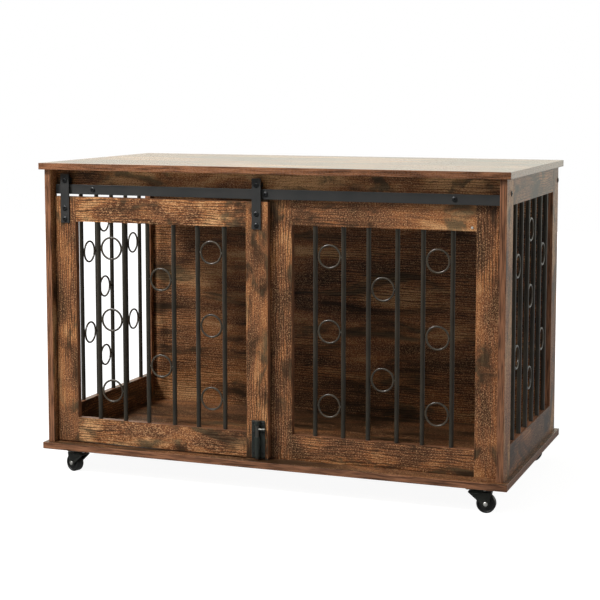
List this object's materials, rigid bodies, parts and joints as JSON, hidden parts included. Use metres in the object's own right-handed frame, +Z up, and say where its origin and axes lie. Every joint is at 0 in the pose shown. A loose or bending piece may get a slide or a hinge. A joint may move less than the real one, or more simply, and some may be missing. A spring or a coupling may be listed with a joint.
{
  "type": "pet crate",
  "caption": "Pet crate in rustic brown wood with dark steel bars and rings, a sliding barred front door hung from a flat track, a barrel bolt, and swivel casters.",
  "frame": {"origin": "on the floor under the middle of the crate", "axes": "+Z up, +X along the front to the right, the front faces -Y"},
  "size_m": [1.1, 0.563, 0.721],
  "materials": {
    "wood_board": "matte printed wood grain",
    "wood_frame": "matte printed wood grain",
    "bar_steel": "satin powder coat",
    "black_steel": "satin powder coat",
    "zinc_steel": "zinc plated",
    "wheel_plastic": "moulded",
    "roller_plastic": "moulded",
    "clear_plastic": "clear soft",
    "pale_plastic": "moulded"
  },
  "bodies": {
    "cabinet": {"back_panel": "wood_board", "base_board": "wood_board", "caster_plates": "black_steel", "door_bumper": "clear_plastic", "door_track": "black_steel", "fixed_panel_bars_1": "bar_steel", "fixed_panel_bars_2": "bar_steel", "fixed_panel_bars_3": "bar_steel", "fixed_panel_bottom_rail": "wood_frame", "fixed_panel_left_stile": "wood_frame", "fixed_panel_right_stile": "wood_frame", "fixed_panel_top_rail": "wood_frame", "floor_guides": "pale_plastic", "header_rail": "wood_board", "left_side_back_stile": "wood_frame", "left_side_bars_1": "bar_steel", "left_side_bars_2": "bar_steel", "left_side_bars_3": "bar_steel", "left_side_bottom_rail": "wood_frame", "left_side_front_stile": "wood_frame", "left_side_top_rail": "wood_frame", "right_side_back_stile": "wood_frame", "right_side_bars_1": "bar_steel", "right_side_bars_2": "bar_steel", "right_side_bars_3": "bar_steel", "right_side_bottom_rail": "wood_frame", "right_side_front_stile": "wood_frame", "right_side_top_rail": "wood_frame", "side_bolts": "black_steel", "top_board": "wood_board", "track_bolts": "black_steel", "track_spacers": "black_steel"},
    "door": {"door_bars_1": "bar_steel", "door_bars_2": "bar_steel", "door_bars_3": "bar_steel", "door_bottom_rail": "wood_frame", "door_left_stile": "wood_frame", "door_right_stile": "wood_frame", "door_top_rail": "wood_frame", "hanger_bolts": "black_steel", "hanger_left": "black_steel", "hanger_right": "black_steel", "latch_plate": "black_steel", "roller_axles": "zinc_steel"},
    "roller_left": {"roller_left": "roller_plastic"},
    "roller_right": {"roller_right": "roller_plastic"},
    "latch_bolt": {"latch_bolt": "zinc_steel"},
    "caster_front_left_swivel": {"caster_front_left_fork": "black_steel", "caster_front_left_axle": "zinc_steel"},
    "caster_front_left_wheel": {"caster_front_left_wheel": "wheel_plastic"},
    "caster_front_right_swivel": {"caster_front_right_fork": "black_steel", "caster_front_right_axle": "zinc_steel"},
    "caster_front_right_wheel": {"caster_front_right_wheel": "wheel_plastic"},
    "caster_back_left_swivel": {"caster_back_left_fork": "black_steel", "caster_back_left_axle": "zinc_steel"},
    "caster_back_left_wheel": {"caster_back_left_wheel": "wheel_plastic"},
    "caster_back_right_swivel": {"caster_back_right_fork": "black_steel", "caster_back_right_axle": "zinc_steel"},
    "caster_back_right_wheel": {"caster_back_right_wheel": "wheel_plastic"}
  },
  "joints": [
    {"name": "door_slide", "type": "slide", "parent": "cabinet", "child": "door", "axis": [1, 0, 0], "range_m": [0, 0.512]},
    {"name": "roller_left_spin", "type": "hinge", "parent": "door", "child": "roller_left", "pos_m": [-0.4945, -0.251, 0.6805], "axis": [0, 1, 0], "continuous": true},
    {"name": "roller_right_spin", "type": "hinge", "parent": "door", "child": "roller_right", "pos_m": [-0.02, -0.251, 0.6805], "axis": [0, 1, 0], "continuous": true},
    {"name": "latch_slide", "type": "slide", "parent": "door", "child": "latch_bolt", "axis": [0, 0, 1], "range_m": [-0.009, 0.003]},
    {"name": "caster_front_left_swivel", "type": "hinge", "parent": "cabinet", "child": "caster_front_left_swivel", "pos_m": [-0.468, -0.2535, 0.05], "axis": [0, 0, 1], "continuous": true},
    {"name": "caster_front_left_roll", "type": "hinge", "parent": "caster_front_left_swivel", "child": "caster_front_left_wheel", "pos_m": [-0.48491, -0.24734, 0.0205], "axis": [-0.342, -0.9397, 0], "continuous": true},
    {"name": "caster_front_right_swivel", "type": "hinge", "parent": "cabinet", "child": "caster_front_right_swivel", "pos_m": [0.482, -0.2535, 0.05], "axis": [0, 0, 1], "continuous": true},
    {"name": "caster_front_right_roll", "type": "hinge", "parent": "caster_front_right_swivel", "child": "caster_front_right_wheel", "pos_m": [0.49996, -0.25224, 0.0205], "axis": [-0.0698, 0.9976, 0], "continuous": true},
    {"name": "caster_back_left_swivel", "type": "hinge", "parent": "cabinet", "child": "caster_back_left_swivel", "pos_m": [-0.468, 0.2235, 0.05], "axis": [0, 0, 1], "continuous": true},
    {"name": "caster_back_left_roll", "type": "hinge", "parent": "caster_back_left_swivel", "child": "caster_back_left_wheel", "pos_m": [-0.48582, 0.22601, 0.0205], "axis": [-0.1392, -0.9903, 0], "continuous": true},
    {"name": "caster_back_right_swivel", "type": "hinge", "parent": "cabinet", "child": "caster_back_right_swivel", "pos_m": [0.482, 0.2235, 0.05], "axis": [0, 0, 1], "continuous": true},
    {"name": "caster_back_right_roll", "type": "hinge", "parent": "caster_back_right_swivel", "child": "caster_back_right_wheel", "pos_m": [0.49999, 0.22413, 0.0205], "axis": [-0.0349, 0.9994, 0], "continuous": true}
  ],
  "couplings": [
    {"joint": "roller_left_spin", "follows": "door_slide", "rad_per_m": 111.11},
    {"joint": "roller_right_spin", "follows": "door_slide", "rad_per_m": 111.11}
  ]
}
